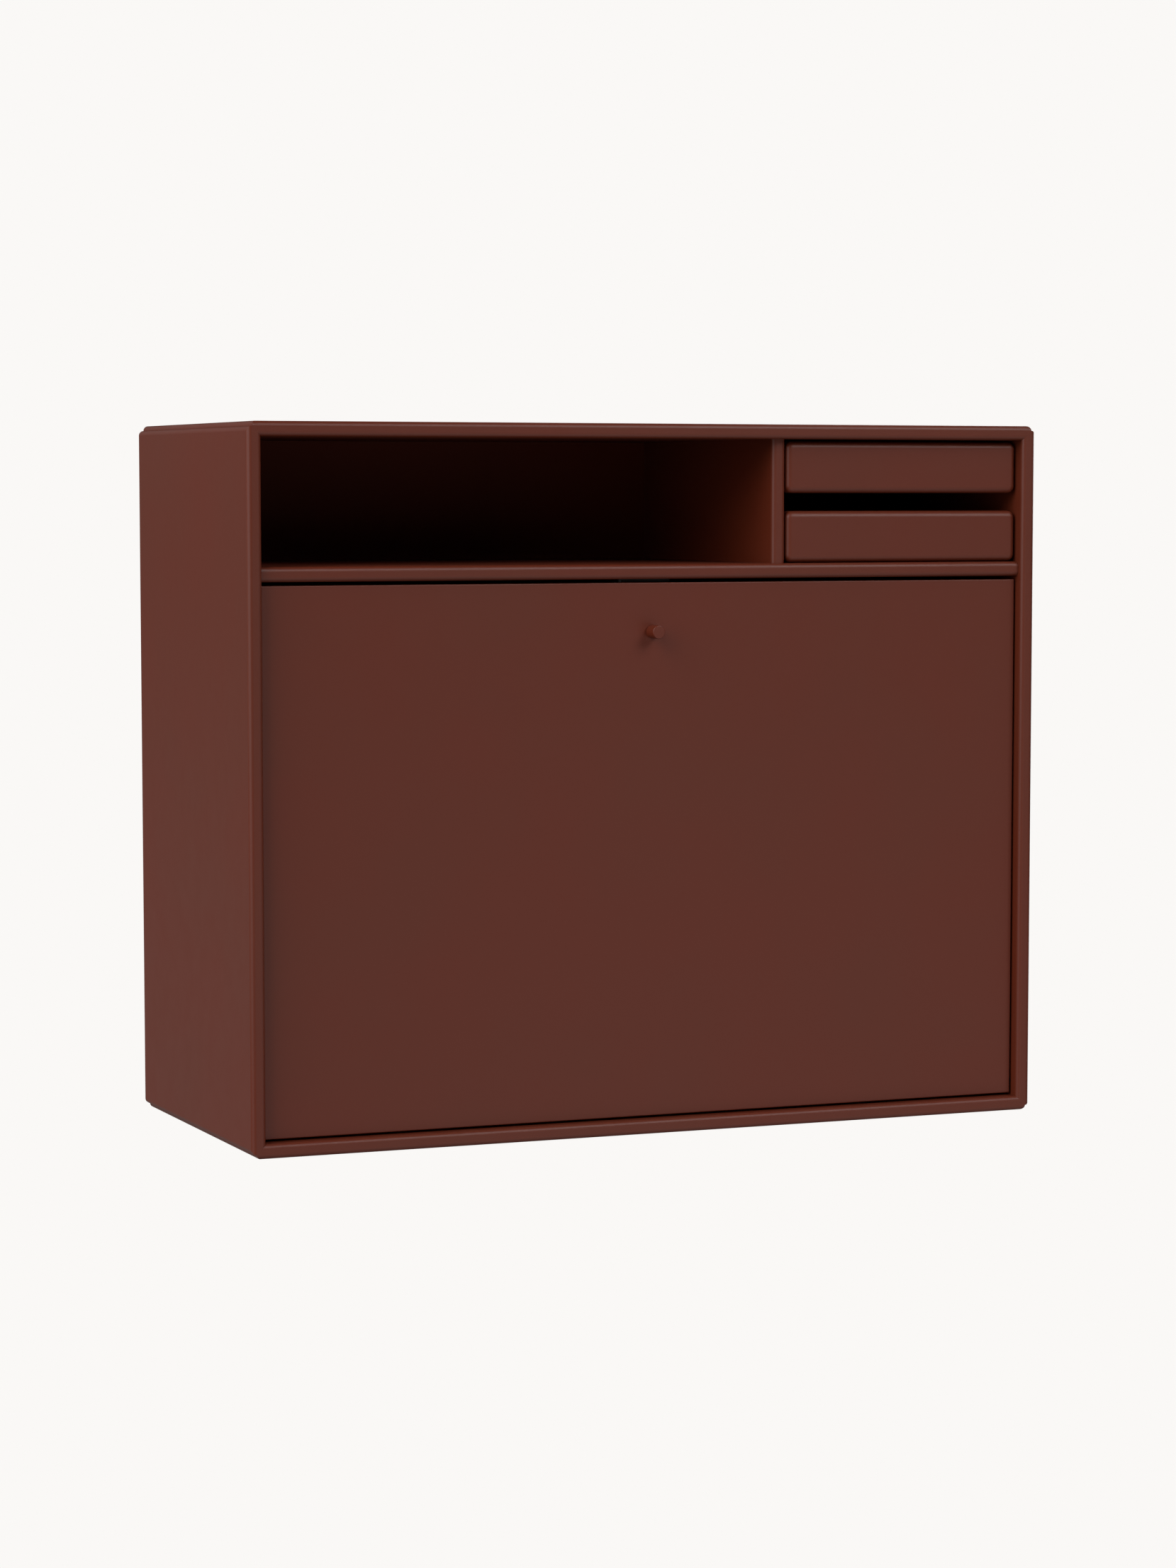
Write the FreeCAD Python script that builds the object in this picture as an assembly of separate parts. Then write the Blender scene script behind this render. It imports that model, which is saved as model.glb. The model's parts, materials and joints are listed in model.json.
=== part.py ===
"""Wall-mounted desk: mitred carcass, open compartment, two trays and a drop-front flap on friction stays.

Millimetres. X to the right, Y towards the wall, Z up. The wall is the plane y = 0, and the origin is
the middle of the wall rail's row of screw holes.
"""
import FreeCAD, Part
import math
import os

V = FreeCAD.Vector

# Carcass boards
WIDTH = 696.0
HEIGHT = 582.0
DEPTH = 300.0
PANEL = 12.0  # thickness of the carcass boards, shelf and divider
EDGE = 4.0  # round on the front arrises
BEAD = 4.0  # round on each board's end, two of which make the notched outer corner
BAY_HEIGHT = 102.0  # clear height above the shelf
BAY_WIDTH = 216.0  # clear width of the tray bay
SHELF_RECESS = 6.0  # shelf nose behind the carcass front
BACK = 8.0
BACK_LET_IN = 5.0  # depth of the groove round the back panel
REAR_ROOM = 14.0  # from the wall to the back panel

# Joinery
FIT = 0.05  # clearance round a dowel, pin or screw that is fixed in its hole
RUN = 0.05  # radial running clearance of a pin that turns
PLAY = 0.3  # gap between faces that move past each other
SPLINE_THICKNESS = 3.0
SPLINE_WIDTH = 10.0
SPLINE_END = 34.0  # from the front and rear edges to the spline's ends
DOWEL_RADIUS = 3.0
DOWEL_LENGTH = 30.0
DOWEL_COVER = 4.0  # board left behind a dowel hole
DOWEL_END = 45.0  # from the shelf's front and rear edge to its dowels
DOWEL_STEP = 20.0  # from a runner's screw to the divider's dowel beside it
HOLE_END = 0.5  # empty end of a blind hole
SCREW_RADIUS = 1.75
SCREW_COVER = 2.5  # board left beyond a screw's tip
FASTENER_SIDES = 6  # dowels, screws and heads are many and small, so they are six-sided

# Flap and knob
FLAP = 12.0
FLAP_RECESS = 10.0
FLAP_HEAD_GAP = 3.0  # above the flap
FLAP_FOOT_GAP = 2.0  # under it
FLAP_SIDE_GAP = 1.6  # at each end
FLAP_ARRIS = 0.8
KNOB_RADIUS = 5.5
KNOB_LENGTH = 15.0
KNOB_CHAMFER = 0.6
KNOB_REBATE = 0.5  # shadow line where the knob meets the flap
KNOB_DROP = 40.0  # below the flap's top edge
KNOB_SCREW_RADIUS = 2.0
KNOB_SCREW_GRIP = 8.0
KNOB_SCREW_HEAD_RADIUS = 4.0
KNOB_SCREW_HEAD = 2.5

# Flap pivots
PIVOT_IN = 6.0  # pivot line behind the flap's front face
SWING_GAP = 0.4  # left under the flap's lower front corner as it swings past the bottom panel
PIN_RADIUS = 2.5
PIN_GRIP = 20.0  # in the flap
BUSH_WALL = 2.0
BUSH_COVER = 3.0  # board left behind the bush

# Friction stays
ROD_RADIUS = 3.5
STAY_STANDOFF = 14.0  # rod pivot behind the flap
STAY_LEAD = 12.0  # degrees between the two stay pivots, seen from the flap's pivot at rest
STAY_TAIL_GAP = 10.0  # rod's end to the back panel at rest
EYE_RADIUS = 8.0
EYE_WIDTH = 8.0
EYE_PIN_RADIUS = 3.0
PIN_HEAD_RIM = 2.0
PIN_HEAD = 1.5
STOP_RADIUS = 8.0  # nut at the rod's far end
STOP_LENGTH = 8.0
GUIDE_WIDTH = 16.0
GUIDE_LENGTH = 28.0
GUIDE_CHAMFER = 2.0
TRUNNION_RADIUS = 4.0
TRUNNION_HEAD_RADIUS = 6.0
TRUNNION_HEAD = 1.8
TRUNNION_ROOM = 1.4  # behind the trunnion's head
SHEET = 2.0  # steel of the stay brackets, hangers and rail
SHEET_BEND = 1.0  # inner radius of a bend
GUIDE_BRACKET_WIDTH = 22.0
GUIDE_BRACKET_SEAT = 31.0  # raised length between the two flanks
GUIDE_BRACKET_FOOT = 14.0
FLAP_BRACKET_WIDTH = 30.0
FLAP_BRACKET_HEIGHT = 30.0
FLAP_BRACKET_SCREWS = 16.0  # apart
FLAP_BRACKET_SCREW_IN = 20.0  # from the ear's outer face
FLAP_BRACKET_CORNER = 4.0  # clipped off the base's corners

# Magnetic catch
CATCH_WIDTH = 46.0
CATCH_DEPTH = 14.0
CATCH_HEIGHT = 16.0
CATCH_CHAMFER = 1.5
CATCH_SCREWS = 34.0  # apart
MAGNET_WIDTH = 22.0
MAGNET_DEPTH = 11.0
MAGNET_HEIGHT = 6.0
MAGNET_PROUD = 0.5
STRIKE_WIDTH = 30.0
STRIKE_HEIGHT = 11.0
STRIKE_DROP = 1.5  # below the flap's top edge
STRIKE = 1.5
STRIKE_CORNER = 2.0  # clipped off
STRIKE_SCREWS = 18.0  # apart
STRIKE_SCREW_RADIUS = 1.25

# Trays
TRAY_RECESS = 10.0
TRAY_GAP = 1.0  # beside each tray front
TRAY_LIFT = 0.5  # under the lower tray front
FINGER_GAP = 15.0  # between the two tray fronts
TRAY_HEADROOM = 1.8
TRAY_FRONT = 12.0
TRAY_CORNER = 6.0
TRAY_EDGE = 5.0
TRAY_WALL = 10.0
TRAY_WALL_RISE = 3.0  # walls above the front's lower edge
TRAY_WALL_DROP = 6.0  # walls below the front's upper edge
TRAY_WALL_INSET = 1.0  # walls inside the front's ends
TRAY_FLOOR = 4.0
TRAY_FLOOR_RISE = 3.0
FLOOR_LET_IN = 5.0
TRAY_REAR_GAP = 8.0
RUNNER_HEIGHT = 8.0
RUNNER_LET_IN = 5.0  # groove in the tray's side
RUNNER_SCREW_END = 40.0

# Wall rail and hangers
RAIL_DROP = 62.0  # row of screw holes below the desk's top
RAIL_END = 6.0  # rail's end to the side panel
RAIL_FLANGE = 28.0
RAIL_STAND = 5.0  # lip in front of the wall
RAIL_LIP = 15.0
RAIL_HOLE_RADIUS = 2.75
RAIL_HOLE_IN = 50.0  # outer holes from the rail's ends
RAIL_INNER_HOLES = 200.0  # apart
HANGER_WIDTH = 40.0
HANGER_TONGUE = 12.0
HANGER_DROP = 20.0  # hanger plate below the row of holes
HANGER_REAR_GAP = 3.0  # hanger to the wall
HANGER_SCREWS = 30.0  # apart

# Places worked out from the sizes
FRONT_Y = -DEPTH
TOP_Z = RAIL_DROP
BOTTOM_Z = TOP_Z - HEIGHT
MID_Z = (TOP_Z + BOTTOM_Z) / 2
INNER_X = WIDTH / 2 - PANEL
INNER_TOP = TOP_Z - PANEL
INNER_BOTTOM = BOTTOM_Z + PANEL
BACK_REAR = -REAR_ROOM
BACK_FRONT = BACK_REAR - BACK
SHELF_TOP = INNER_TOP - BAY_HEIGHT
SHELF_BOTTOM = SHELF_TOP - PANEL
SHELF_FRONT = FRONT_Y + SHELF_RECESS
DIVIDER_FRONT = SHELF_FRONT + EDGE
BAY_LEFT = INNER_X - BAY_WIDTH
SCREW_GRIP = PANEL - SCREW_COVER
RAIL_OUTER_HOLES = 2 * (INNER_X - RAIL_END - RAIL_HOLE_IN)

FLAP_FRONT = FRONT_Y + FLAP_RECESS
FLAP_REAR = FLAP_FRONT + FLAP
FLAP_X = INNER_X - FLAP_SIDE_GAP
FLAP_BOTTOM = INNER_BOTTOM + FLAP_FOOT_GAP
FLAP_TOP = SHELF_BOTTOM - FLAP_HEAD_GAP
KNOB_Z = FLAP_TOP - KNOB_DROP

# The flap's lower front corner turns on a circle that passes SWING_GAP above the bottom panel
SWING_ROOM = FLAP_FOOT_GAP - SWING_GAP
PIVOT_Y = FLAP_FRONT + PIVOT_IN
PIVOT_Z = FLAP_BOTTOM + (PIVOT_IN**2 - SWING_ROOM**2) / (2 * SWING_ROOM)

STAY_PIN_Y = FLAP_REAR + STAY_STANDOFF
HAT_RISE = TRUNNION_ROOM + TRUNNION_HEAD + PLAY
ROD_X = INNER_X - HAT_RISE - SHEET - PLAY - GUIDE_WIDTH / 2
EAR_X = ROD_X - EYE_WIDTH / 2 - PLAY  # face of the flap bracket's ear

TRAY_HEIGHT = (BAY_HEIGHT - TRAY_LIFT - FINGER_GAP - TRAY_HEADROOM) / 2
TRAY_FRONT_Y = FRONT_Y + TRAY_RECESS
TRAY_BODY_Y = TRAY_FRONT_Y + TRAY_FRONT
TRAY_REAR_Y = BACK_FRONT - TRAY_REAR_GAP
TRAY_SIDE_GAP = TRAY_GAP + TRAY_WALL_INSET
RUNNER_WIDTH = TRAY_SIDE_GAP + RUNNER_LET_IN - PLAY
RUNNER_SCREW_FRONT = TRAY_BODY_Y + RUNNER_SCREW_END
RUNNER_SCREW_REAR = TRAY_REAR_Y - RUNNER_SCREW_END
LIP_TOP = RAIL_FLANGE / 2 + RAIL_STAND + RAIL_LIP


# Shape helpers

def in_xz(x, z):
    return V(x, 0, z)


def in_yz(y, z):
    return V(0, y, z)


def face(outline, place):
    """Flat face with a closed outline. A pair of points is an arc: through the first, to the second."""
    edges = []
    here = outline[0]
    for step in outline[1:] + outline[:1]:
        if isinstance(step[0], tuple):
            through, end = step
            edges.append(Part.Arc(place(*here), place(*through), place(*end)).toShape())
        else:
            end = step
            edges.append(Part.makeLine(place(*here), place(*end)))
        here = end
    return Part.Face(Part.Wire(edges))


def box(x, y, z):
    """Box between the two values of each pair."""
    return Part.makeBox(x[1] - x[0], y[1] - y[0], z[1] - z[0], V(x[0], y[0], z[0]))


def edges_along(shape, direction):
    return [e for e in shape.Edges if abs(abs(e.tangentAt(e.FirstParameter).dot(direction)) - 1) < 1e-6]


def mirrored(shape):
    return shape.mirror(V(0, 0, 0), V(1, 0, 0))


def both(shape):
    """Node with a piece on the right and its mirror image on the left."""
    return Part.makeCompound([shape, mirrored(shape)])


def turned(shape, degrees, x, z):
    """Copy turned about the Y axis, then moved."""
    copy = shape.copy()
    copy.rotate(V(0, 0, 0), V(0, 1, 0), degrees)
    copy.translate(V(x, 0, z))
    return copy


def lathe(outline, start, axis):
    """Solid turned from an outline of (radius, length along the axis) points."""
    solid = face(outline, in_xz).revolve(V(0, 0, 0), V(0, 0, 1), 360)
    solid.Placement = FreeCAD.Placement(start, FreeCAD.Rotation(V(0, 0, 1), axis))
    return solid


def rounded_path(points, radii):
    """Outline steps along an open path, with its inner points rounded to the given radii."""
    steps = [points[0]]
    for before, corner, after, radius in zip(points, points[1:], points[2:], radii):
        at = V(*corner)
        arrive = (at - V(*before)).normalize()
        leave = (V(*after) - at).normalize()
        half_turn = arrive.getAngle(leave) / 2
        start = at - arrive * (radius * math.tan(half_turn))
        end = at + leave * (radius * math.tan(half_turn))
        through = at + (leave - arrive).normalize() * (radius / math.cos(half_turn) - radius)
        steps += [(start.x, start.y), ((through.x, through.y), (end.x, end.y))]
    return steps + [points[-1]]


def bent_strip(path):
    """Outline of folded sheet steel: an open path with rounded bends, and its copy set off to the left."""
    sides = []
    for (u0, v0), (u1, v1) in zip(path, path[1:]):
        sides.append(V(v0 - v1, u1 - u0).normalize())
    offset = []
    for (u, v), n, m in zip(path, sides[:1] + sides, sides + sides[-1:]):
        corner = V(u, v) + (n + m) * (SHEET / (1 + n.dot(m)))
        offset.append((corner.x, corner.y))
    left_turns = [n.x * m.y > n.y * m.x for n, m in zip(sides, sides[1:])]
    radii = [SHEET_BEND + SHEET if left else SHEET_BEND for left in left_turns]
    offset_radii = [2 * SHEET_BEND + SHEET - radius for radius in radii]
    return rounded_path(path, radii) + rounded_path(offset[::-1], offset_radii[::-1])


# Fasteners

def faceted(rings, start, axis):
    """Many-sided solid of revolution through rings of (radius, length along the axis), with flat ends."""
    turns = [2 * math.pi * side / FASTENER_SIDES for side in range(FASTENER_SIDES + 1)]
    corners = [V(math.cos(turn), math.sin(turn), 0) for turn in turns]
    loops = [[corner * radius + V(0, 0, length) for corner in corners] for radius, length in rings]
    outlines = [loops[0], loops[-1]]
    for near, far in zip(loops, loops[1:]):
        for side in range(FASTENER_SIDES):
            outlines.append([near[side], near[side + 1], far[side + 1], far[side], near[side]])
    faces = [Part.Face(Part.makePolygon(outline)) for outline in outlines]
    solid = Part.makeSolid(Part.makeShell(faces)).removeSplitter()
    solid.Placement = FreeCAD.Placement(start, FreeCAD.Rotation(V(0, 0, 1), axis))
    return solid


def screw(point, axis, grip, radius=SCREW_RADIUS, room=0.0):
    """Countersunk screw with its flat head at a point, or its hole where room is given."""
    head = 2 * radius
    return faceted(
        [(head + room, 0), (radius + room, head - radius), (radius + room, grip + room)],
        point,
        axis,
    )


def screws(places, grip, radius=SCREW_RADIUS):
    return Part.makeCompound([screw(point, axis, grip, radius) for point, axis in places])


def drilled(shape, places, grip, radius=SCREW_RADIUS):
    """Shape with holes for the screws at the given places."""
    return shape.cut([screw(point, axis, grip, radius, FIT) for point, axis in places])


def dowel(end, axis, radius_room=0.0, end_room=0.0):
    """Dowel across a joint: PANEL less DOWEL_COVER of it lies beyond the joint's plane along the axis."""
    start = end - axis * (DOWEL_LENGTH - PANEL + DOWEL_COVER + end_room)
    radius = DOWEL_RADIUS + radius_room
    return faceted([(radius, 0), (radius, DOWEL_LENGTH + 2 * end_room)], start, axis)


def dowel_holes(places):
    return [dowel(end, axis, FIT, HOLE_END) for end, axis in places]


# Carcass

def nosed_section(front, rear, thickness):
    """Board section as (depth, thickness) points, with both front arrises rounded."""
    k = EDGE * (1 - math.sqrt(0.5))
    return [
        (rear, 0),
        (front + EDGE, 0),
        ((front + k, k), (front, EDGE)),
        (front, thickness - EDGE),
        ((front + k, thickness - k), (front + EDGE, thickness)),
        (rear, thickness),
    ]


def carcass_board(length):
    """Mitred board along X, its inner face at z = 0: end profile and nosed section, grooved for the back."""
    half = length / 2
    k = BEAD * (1 - math.sqrt(0.5))
    ends = [
        (PANEL - half, 0),
        (half - PANEL, 0),
        (half - BEAD, PANEL - BEAD),
        ((half - BEAD - k, PANEL - k), (half - 2 * BEAD, PANEL)),
        (2 * BEAD - half, PANEL),
        ((BEAD + k - half, PANEL - k), (BEAD - half, PANEL - BEAD)),
    ]
    lengthways = face(ends, in_xz).extrude(V(0, FRONT_Y, 0))
    across = face(nosed_section(FRONT_Y, 0, PANEL), in_yz).extrude(V(length, 0, 0))
    across.translate(V(-half, 0, 0))
    groove = box((-half, half), (BACK_FRONT, BACK_REAR), (0, BACK_LET_IN))
    return lengthways.common(across).cut(groove)


def corner_splines():
    """Loose tongues across the four mitres, square to each mitre at its middle."""
    out = (PANEL - BEAD) / 2
    plate = box(
        (-SPLINE_THICKNESS / 2, SPLINE_THICKNESS / 2),
        (FRONT_Y + SPLINE_END, -SPLINE_END),
        (-SPLINE_WIDTH / 2, SPLINE_WIDTH / 2),
    )
    return [
        turned(plate, -45 * side * level, side * (INNER_X + out), MID_Z + level * (INNER_TOP - MID_Z + out))
        for side in (-1, 1)
        for level in (-1, 1)
    ]


def shelf_dowel_places():
    return [
        (V(side * INNER_X, y, SHELF_TOP - PANEL / 2), V(side, 0, 0))
        for side in (-1, 1)
        for y in (SHELF_FRONT + DOWEL_END, BACK_FRONT - DOWEL_END)
    ]


def divider_dowel_places():
    return [
        (V(BAY_LEFT - PANEL / 2, y, z), V(0, 0, up))
        for z, up in ((SHELF_TOP, -1), (INNER_TOP, 1))
        for y in (RUNNER_SCREW_FRONT + DOWEL_STEP, RUNNER_SCREW_REAR - DOWEL_STEP)
    ]


def middle_shelf():
    board = face(nosed_section(SHELF_FRONT, BACK_FRONT, PANEL), in_yz).extrude(V(2 * INNER_X, 0, 0))
    board.translate(V(-INNER_X, 0, SHELF_BOTTOM))
    return board.cut(dowel_holes(shelf_dowel_places() + divider_dowel_places()))


def divider():
    section = nosed_section(DIVIDER_FRONT, BACK_FRONT, PANEL)
    board = face(section, lambda y, x: V(BAY_LEFT - PANEL + x, y, SHELF_TOP)).extrude(V(0, 0, BAY_HEIGHT))
    return board.cut(dowel_holes(divider_dowel_places()))


def back_panel():
    reach = BACK_LET_IN - FIT
    return box(
        (-INNER_X - reach, INNER_X + reach),
        (BACK_FRONT, BACK_REAR),
        (INNER_BOTTOM - reach, INNER_TOP + reach),
    )


# Wall rail and hangers

def wall_rail():
    path = [
        (0, -RAIL_FLANGE / 2),
        (0, RAIL_FLANGE / 2),
        (-RAIL_STAND, RAIL_FLANGE / 2 + RAIL_STAND),
        (-RAIL_STAND, LIP_TOP),
    ]
    length = 2 * (INNER_X - RAIL_END)
    rail = face(bent_strip(path), in_yz).extrude(V(length, 0, 0))
    rail.translate(V(-length / 2, 0, 0))
    holes = [
        Part.makeCylinder(RAIL_HOLE_RADIUS, SHEET, V(side * apart / 2, -SHEET, 0), V(0, 1, 0))
        for side in (-1, 1)
        for apart in (RAIL_INNER_HOLES, RAIL_OUTER_HOLES)
    ]
    return rail.cut(holes)


def hanger_screw_places():
    y = (BACK_REAR - HANGER_REAR_GAP) / 2
    middle = (LIP_TOP - HANGER_DROP) / 2
    return [
        (V(INNER_X - SHEET, y, middle + level * HANGER_SCREWS / 2), V(1, 0, 0))
        for level in (-1, 1)
    ]


def hanger():
    """Right-hand hanger: plate on the back panel, hook over the rail's lip, flange on the side panel."""
    path = [
        (BACK_REAR + SHEET, -HANGER_DROP),
        (BACK_REAR + SHEET, LIP_TOP),
        (SHEET_BEND - RAIL_STAND, LIP_TOP),
        (SHEET_BEND - RAIL_STAND, LIP_TOP - HANGER_TONGUE),
    ]
    hook = face(bent_strip(path), in_yz).extrude(V(HANGER_WIDTH, 0, 0))
    hook.translate(V(INNER_X - HANGER_WIDTH, 0, 0))
    flange = box(
        (INNER_X - SHEET, INNER_X),
        (BACK_REAR, -HANGER_REAR_GAP),
        (-HANGER_DROP, LIP_TOP - HANGER_TONGUE),
    )
    return drilled(hook.fuse(flange).removeSplitter(), hanger_screw_places(), SHEET + SCREW_GRIP)


# Trays

def tray_floor_heights():
    lower = SHELF_TOP + TRAY_LIFT
    return {"lower": lower, "upper": lower + TRAY_HEIGHT + FINGER_GAP}


def runner_height(base):
    """Middle of a tray's walls, where its grooves and runners are."""
    return base + (TRAY_WALL_RISE + TRAY_HEIGHT - TRAY_WALL_DROP) / 2


def tray_front(base):
    """Front with rounded corners and a rounded arris all round, grooved for the floor."""
    block = box(
        (BAY_LEFT + TRAY_GAP, INNER_X - TRAY_GAP),
        (TRAY_FRONT_Y, TRAY_BODY_Y),
        (base, base + TRAY_HEIGHT),
    )
    block = block.makeFillet(TRAY_CORNER, edges_along(block, V(0, 1, 0)))
    rim = [f for f in block.Faces if f.BoundBox.YMax < TRAY_FRONT_Y + FIT][0]
    return block.makeFillet(TRAY_EDGE, rim.Edges)


def tray_floor(base):
    """Floor let into both sides and the front, and running under the tray's back."""
    side = TRAY_SIDE_GAP + TRAY_WALL - FLOOR_LET_IN
    level = base + TRAY_WALL_RISE + TRAY_FLOOR_RISE
    return box(
        (BAY_LEFT + side, INNER_X - side),
        (TRAY_BODY_Y - FLOOR_LET_IN, TRAY_REAR_Y),
        (level, level + TRAY_FLOOR),
    )


def tray_side(base, outer_x, inward):
    """Side wall grooved outside for its runner and inside for the floor."""
    middle = runner_height(base)
    wall = box(
        sorted((outer_x, outer_x + inward * TRAY_WALL)),
        (TRAY_BODY_Y, TRAY_REAR_Y),
        (base + TRAY_WALL_RISE, base + TRAY_HEIGHT - TRAY_WALL_DROP),
    )
    groove = box(
        sorted((outer_x, outer_x + inward * RUNNER_LET_IN)),
        (TRAY_BODY_Y, TRAY_REAR_Y),
        (middle - RUNNER_HEIGHT / 2 - PLAY, middle + RUNNER_HEIGHT / 2 + PLAY),
    )
    return wall.cut([groove, tray_floor(base)])


def tray_back(base):
    side = TRAY_SIDE_GAP + TRAY_WALL
    floor_top = base + TRAY_WALL_RISE + TRAY_FLOOR_RISE + TRAY_FLOOR
    return box(
        (BAY_LEFT + side, INNER_X - side),
        (TRAY_REAR_Y - TRAY_WALL, TRAY_REAR_Y),
        (floor_top, base + TRAY_HEIGHT - TRAY_WALL_DROP),
    )


def runner(base, face_x, inward):
    middle = runner_height(base)
    strip = box(
        sorted((face_x, face_x + inward * RUNNER_WIDTH)),
        (TRAY_BODY_Y + PLAY, TRAY_REAR_Y),
        (middle - RUNNER_HEIGHT / 2, middle + RUNNER_HEIGHT / 2),
    )
    return drilled(strip, runner_screw_places(base, face_x, inward), RUNNER_WIDTH + SCREW_GRIP)


def runner_screw_places(base, face_x, inward):
    return [
        (V(face_x + inward * RUNNER_WIDTH, y, runner_height(base)), V(-inward, 0, 0))
        for y in (RUNNER_SCREW_FRONT, RUNNER_SCREW_REAR)
    ]


# Flap, knob and pivots

def knob_screw(room=0.0):
    """Screw from the flap's rear face into the knob, its head sunk flush."""
    head = KNOB_SCREW_HEAD_RADIUS + room
    shank = KNOB_SCREW_RADIUS + room
    depth = KNOB_SCREW_HEAD + room
    rings = [(head, 0), (head, depth), (shank, depth), (shank, FLAP + KNOB_SCREW_GRIP + room)]
    return faceted(rings, V(0, FLAP_REAR, KNOB_Z), V(0, -1, 0))


def knob():
    foot = KNOB_RADIUS - KNOB_REBATE
    outline = [
        (0, 0),
        (foot, 0),
        (foot, KNOB_REBATE),
        (KNOB_RADIUS, KNOB_REBATE),
        (KNOB_RADIUS, KNOB_LENGTH - KNOB_CHAMFER),
        (KNOB_RADIUS - KNOB_CHAMFER, KNOB_LENGTH),
        (0, KNOB_LENGTH),
    ]
    return lathe(outline, V(0, FLAP_FRONT, KNOB_Z), V(0, -1, 0)).cut(knob_screw(FIT))


def pivot_pin(room=0.0):
    start = V(FLAP_X - PIN_GRIP - room, PIVOT_Y, PIVOT_Z)
    length = PIN_GRIP + FLAP_SIDE_GAP + PANEL - BUSH_COVER + room
    return Part.makeCylinder(PIN_RADIUS + room, length, start, V(1, 0, 0))


def pivot_bush(room=0.0):
    """Bush let into the side panel, or the hole for it where room is given."""
    start = V(INNER_X, PIVOT_Y, PIVOT_Z)
    depth = PANEL - BUSH_COVER
    body = Part.makeCylinder(PIN_RADIUS + RUN + BUSH_WALL + room, depth + room, start, V(1, 0, 0))
    if room:
        return body
    return body.cut(Part.makeCylinder(PIN_RADIUS + RUN, depth, start, V(1, 0, 0)))


def flap_panel():
    """Flap with a small round on the arrises of its front and rear faces."""
    slab = box((-FLAP_X, FLAP_X), (FLAP_FRONT, FLAP_REAR), (FLAP_BOTTOM, FLAP_TOP))
    arrises = edges_along(slab, V(1, 0, 0)) + edges_along(slab, V(0, 0, 1))
    slab = slab.makeFillet(FLAP_ARRIS, arrises)
    return slab.cut([knob_screw(FIT), pivot_pin(FIT), mirrored(pivot_pin(FIT))])


# Friction stays, built on the right-hand side

def stay_radius():
    """Distance of both stay pivots from the flap's pivot, as long as the rod's room at rest allows.

    The rod turns on the flap and slides through a guide on the side panel. With both of those pivots at
    one distance from the flap's own pivot, the rod turns by exactly half the flap's angle.
    """
    lead = math.radians(STAY_LEAD)
    room = BACK_FRONT - STAY_TAIL_GAP - STAY_PIN_Y
    beyond = GUIDE_LENGTH / 2 + PLAY + STOP_LENGTH
    slope = lead
    for _ in range(30):
        radius = (room / math.cos(slope) - beyond) / (2 * math.sin(math.pi / 4 + lead / 2))
        slope = math.asin((STAY_PIN_Y - PIVOT_Y) / radius) + lead / 2
    return radius


STAY_RADIUS = stay_radius()
STAY_ANGLE = math.asin((STAY_PIN_Y - PIVOT_Y) / STAY_RADIUS)
STAY_SLOPE = math.degrees(STAY_ANGLE) + STAY_LEAD / 2
OPEN_REACH = 2 * STAY_RADIUS * math.sin(math.pi / 4 + math.radians(STAY_LEAD) / 2)
STOP_START = OPEN_REACH + GUIDE_LENGTH / 2 + PLAY
GUIDE_ANGLE = STAY_ANGLE + math.radians(STAY_LEAD)
STAY_PIN = V(ROD_X, STAY_PIN_Y, PIVOT_Z + STAY_RADIUS * math.cos(STAY_ANGLE))
GUIDE_PIN = V(
    ROD_X,
    PIVOT_Y + STAY_RADIUS * math.sin(GUIDE_ANGLE),
    PIVOT_Z + STAY_RADIUS * math.cos(GUIDE_ANGLE),
)


def along_rod(shape, pivot):
    """Places a shape that was built along Y at the origin: tilted with the rod, then moved to a pivot."""
    shape.rotate(V(0, 0, 0), V(1, 0, 0), -STAY_SLOPE)
    shape.translate(pivot)
    return shape


def stay_rod():
    """Rod with an eye on the flap's pin and a stop nut at its far end."""
    eye = Part.makeCylinder(EYE_RADIUS, EYE_WIDTH, V(-EYE_WIDTH / 2, 0, 0), V(1, 0, 0))
    shank = Part.makeCylinder(ROD_RADIUS, STOP_START, V(0, 0, 0), V(0, 1, 0))
    stop = faceted([(STOP_RADIUS, 0), (STOP_RADIUS, STOP_LENGTH)], V(0, STOP_START, 0), V(0, 1, 0))
    bore = Part.makeCylinder(EYE_PIN_RADIUS + RUN, EYE_WIDTH, V(-EYE_WIDTH / 2, 0, 0), V(1, 0, 0))
    return along_rod(eye.fuse([shank, stop]).cut(bore).removeSplitter(), STAY_PIN)


def stay_guide():
    """Block that the rod slides through, with a trunnion riveted over behind the pressed bracket."""
    half = GUIDE_WIDTH / 2
    start = V(0, -GUIDE_LENGTH / 2, 0)
    block = box((-half, half), (-GUIDE_LENGTH / 2, GUIDE_LENGTH / 2), (-half, half))
    block = block.makeChamfer(GUIDE_CHAMFER, edges_along(block, V(0, 1, 0)))
    neck = half + SHEET + 2 * PLAY
    trunnion = Part.makeCylinder(TRUNNION_RADIUS, neck, V(0, 0, 0), V(1, 0, 0))
    rim = TRUNNION_HEAD_RADIUS
    head = faceted([(rim, 0), (rim, TRUNNION_HEAD)], V(neck, 0, 0), V(1, 0, 0))
    bore = Part.makeCylinder(ROD_RADIUS + RUN, GUIDE_LENGTH, start, V(0, 1, 0))
    return along_rod(block.fuse([trunnion, head]).cut(bore).removeSplitter(), GUIDE_PIN)


def guide_bracket_screw_places():
    reach = GUIDE_BRACKET_SEAT / 2 + HAT_RISE + GUIDE_BRACKET_FOOT / 2
    return [
        (V(INNER_X - SHEET, GUIDE_PIN.y, GUIDE_PIN.z + side * reach), V(1, 0, 0))
        for side in (-1, 1)
    ]


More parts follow.
